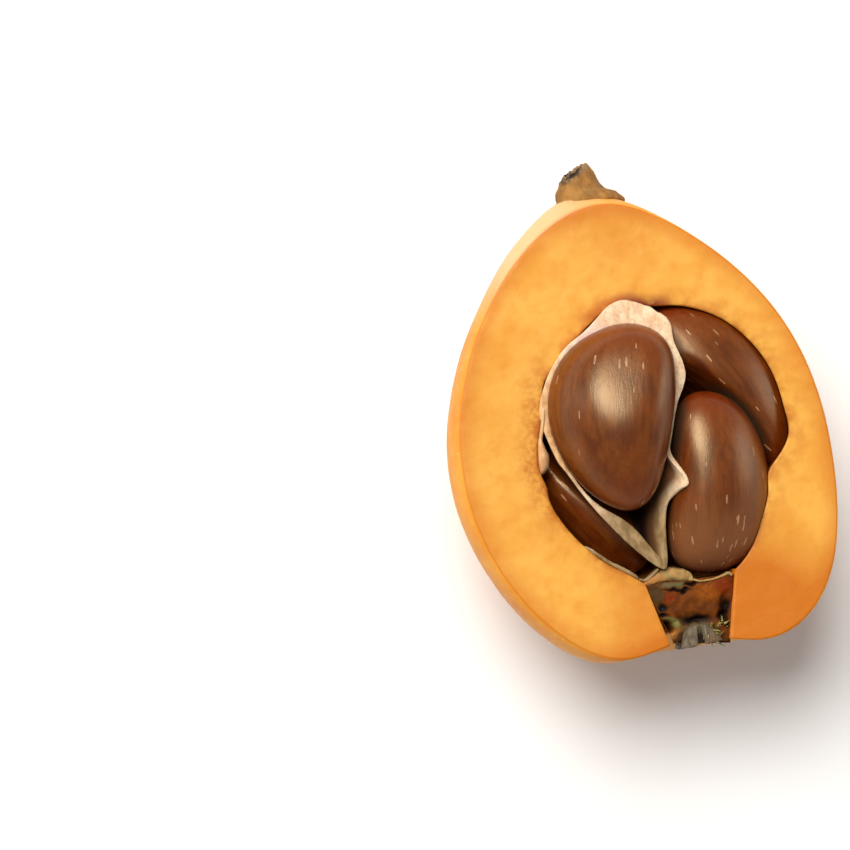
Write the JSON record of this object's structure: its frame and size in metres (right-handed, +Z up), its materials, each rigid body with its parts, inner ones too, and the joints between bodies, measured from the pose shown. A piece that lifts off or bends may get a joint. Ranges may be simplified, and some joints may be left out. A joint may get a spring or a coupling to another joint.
{
  "type": "cut loquat half",
  "caption": "Ripe loquat cut lengthwise, lying on its round back, with glossy seeds in the open hollow, torn seed skins, a dry calyx and a stem stub.",
  "frame": {"origin": "middle of the footprint box, on the surface the half rests on", "axes": "+Z up out of the level cut face, +Y toward the stem, +X to the right across the cut face"},
  "size_m": [0.0402, 0.0534, 0.0308],
  "materials": {
    "flesh": "moist orange flesh, satin yellow-orange skin on the round back",
    "seed": "smooth chestnut-brown seed coat with a satin sheen and fine pale flecks",
    "membrane": "thin matt cream skin that lined the seed chambers",
    "dry_calyx": "dry brown blossom remains",
    "stem": "rough felted stem, dark where it broke"
  },
  "bodies": {
    "root": {"flesh_half": "flesh", "seed_large": "seed", "seed_right": "seed", "seed_back": "seed", "seed_left": "seed", "membrane_pocket": "membrane", "membrane_lining": "membrane", "core_tissue": "membrane", "calyx_cup": "dry_calyx", "sepal_1": "dry_calyx", "sepal_2": "dry_calyx", "sepal_3": "dry_calyx", "sepal_4": "dry_calyx", "sepal_5": "dry_calyx", "stamen_tuft": "dry_calyx", "stem_stub": "stem"}
  },
  "joints": []
}
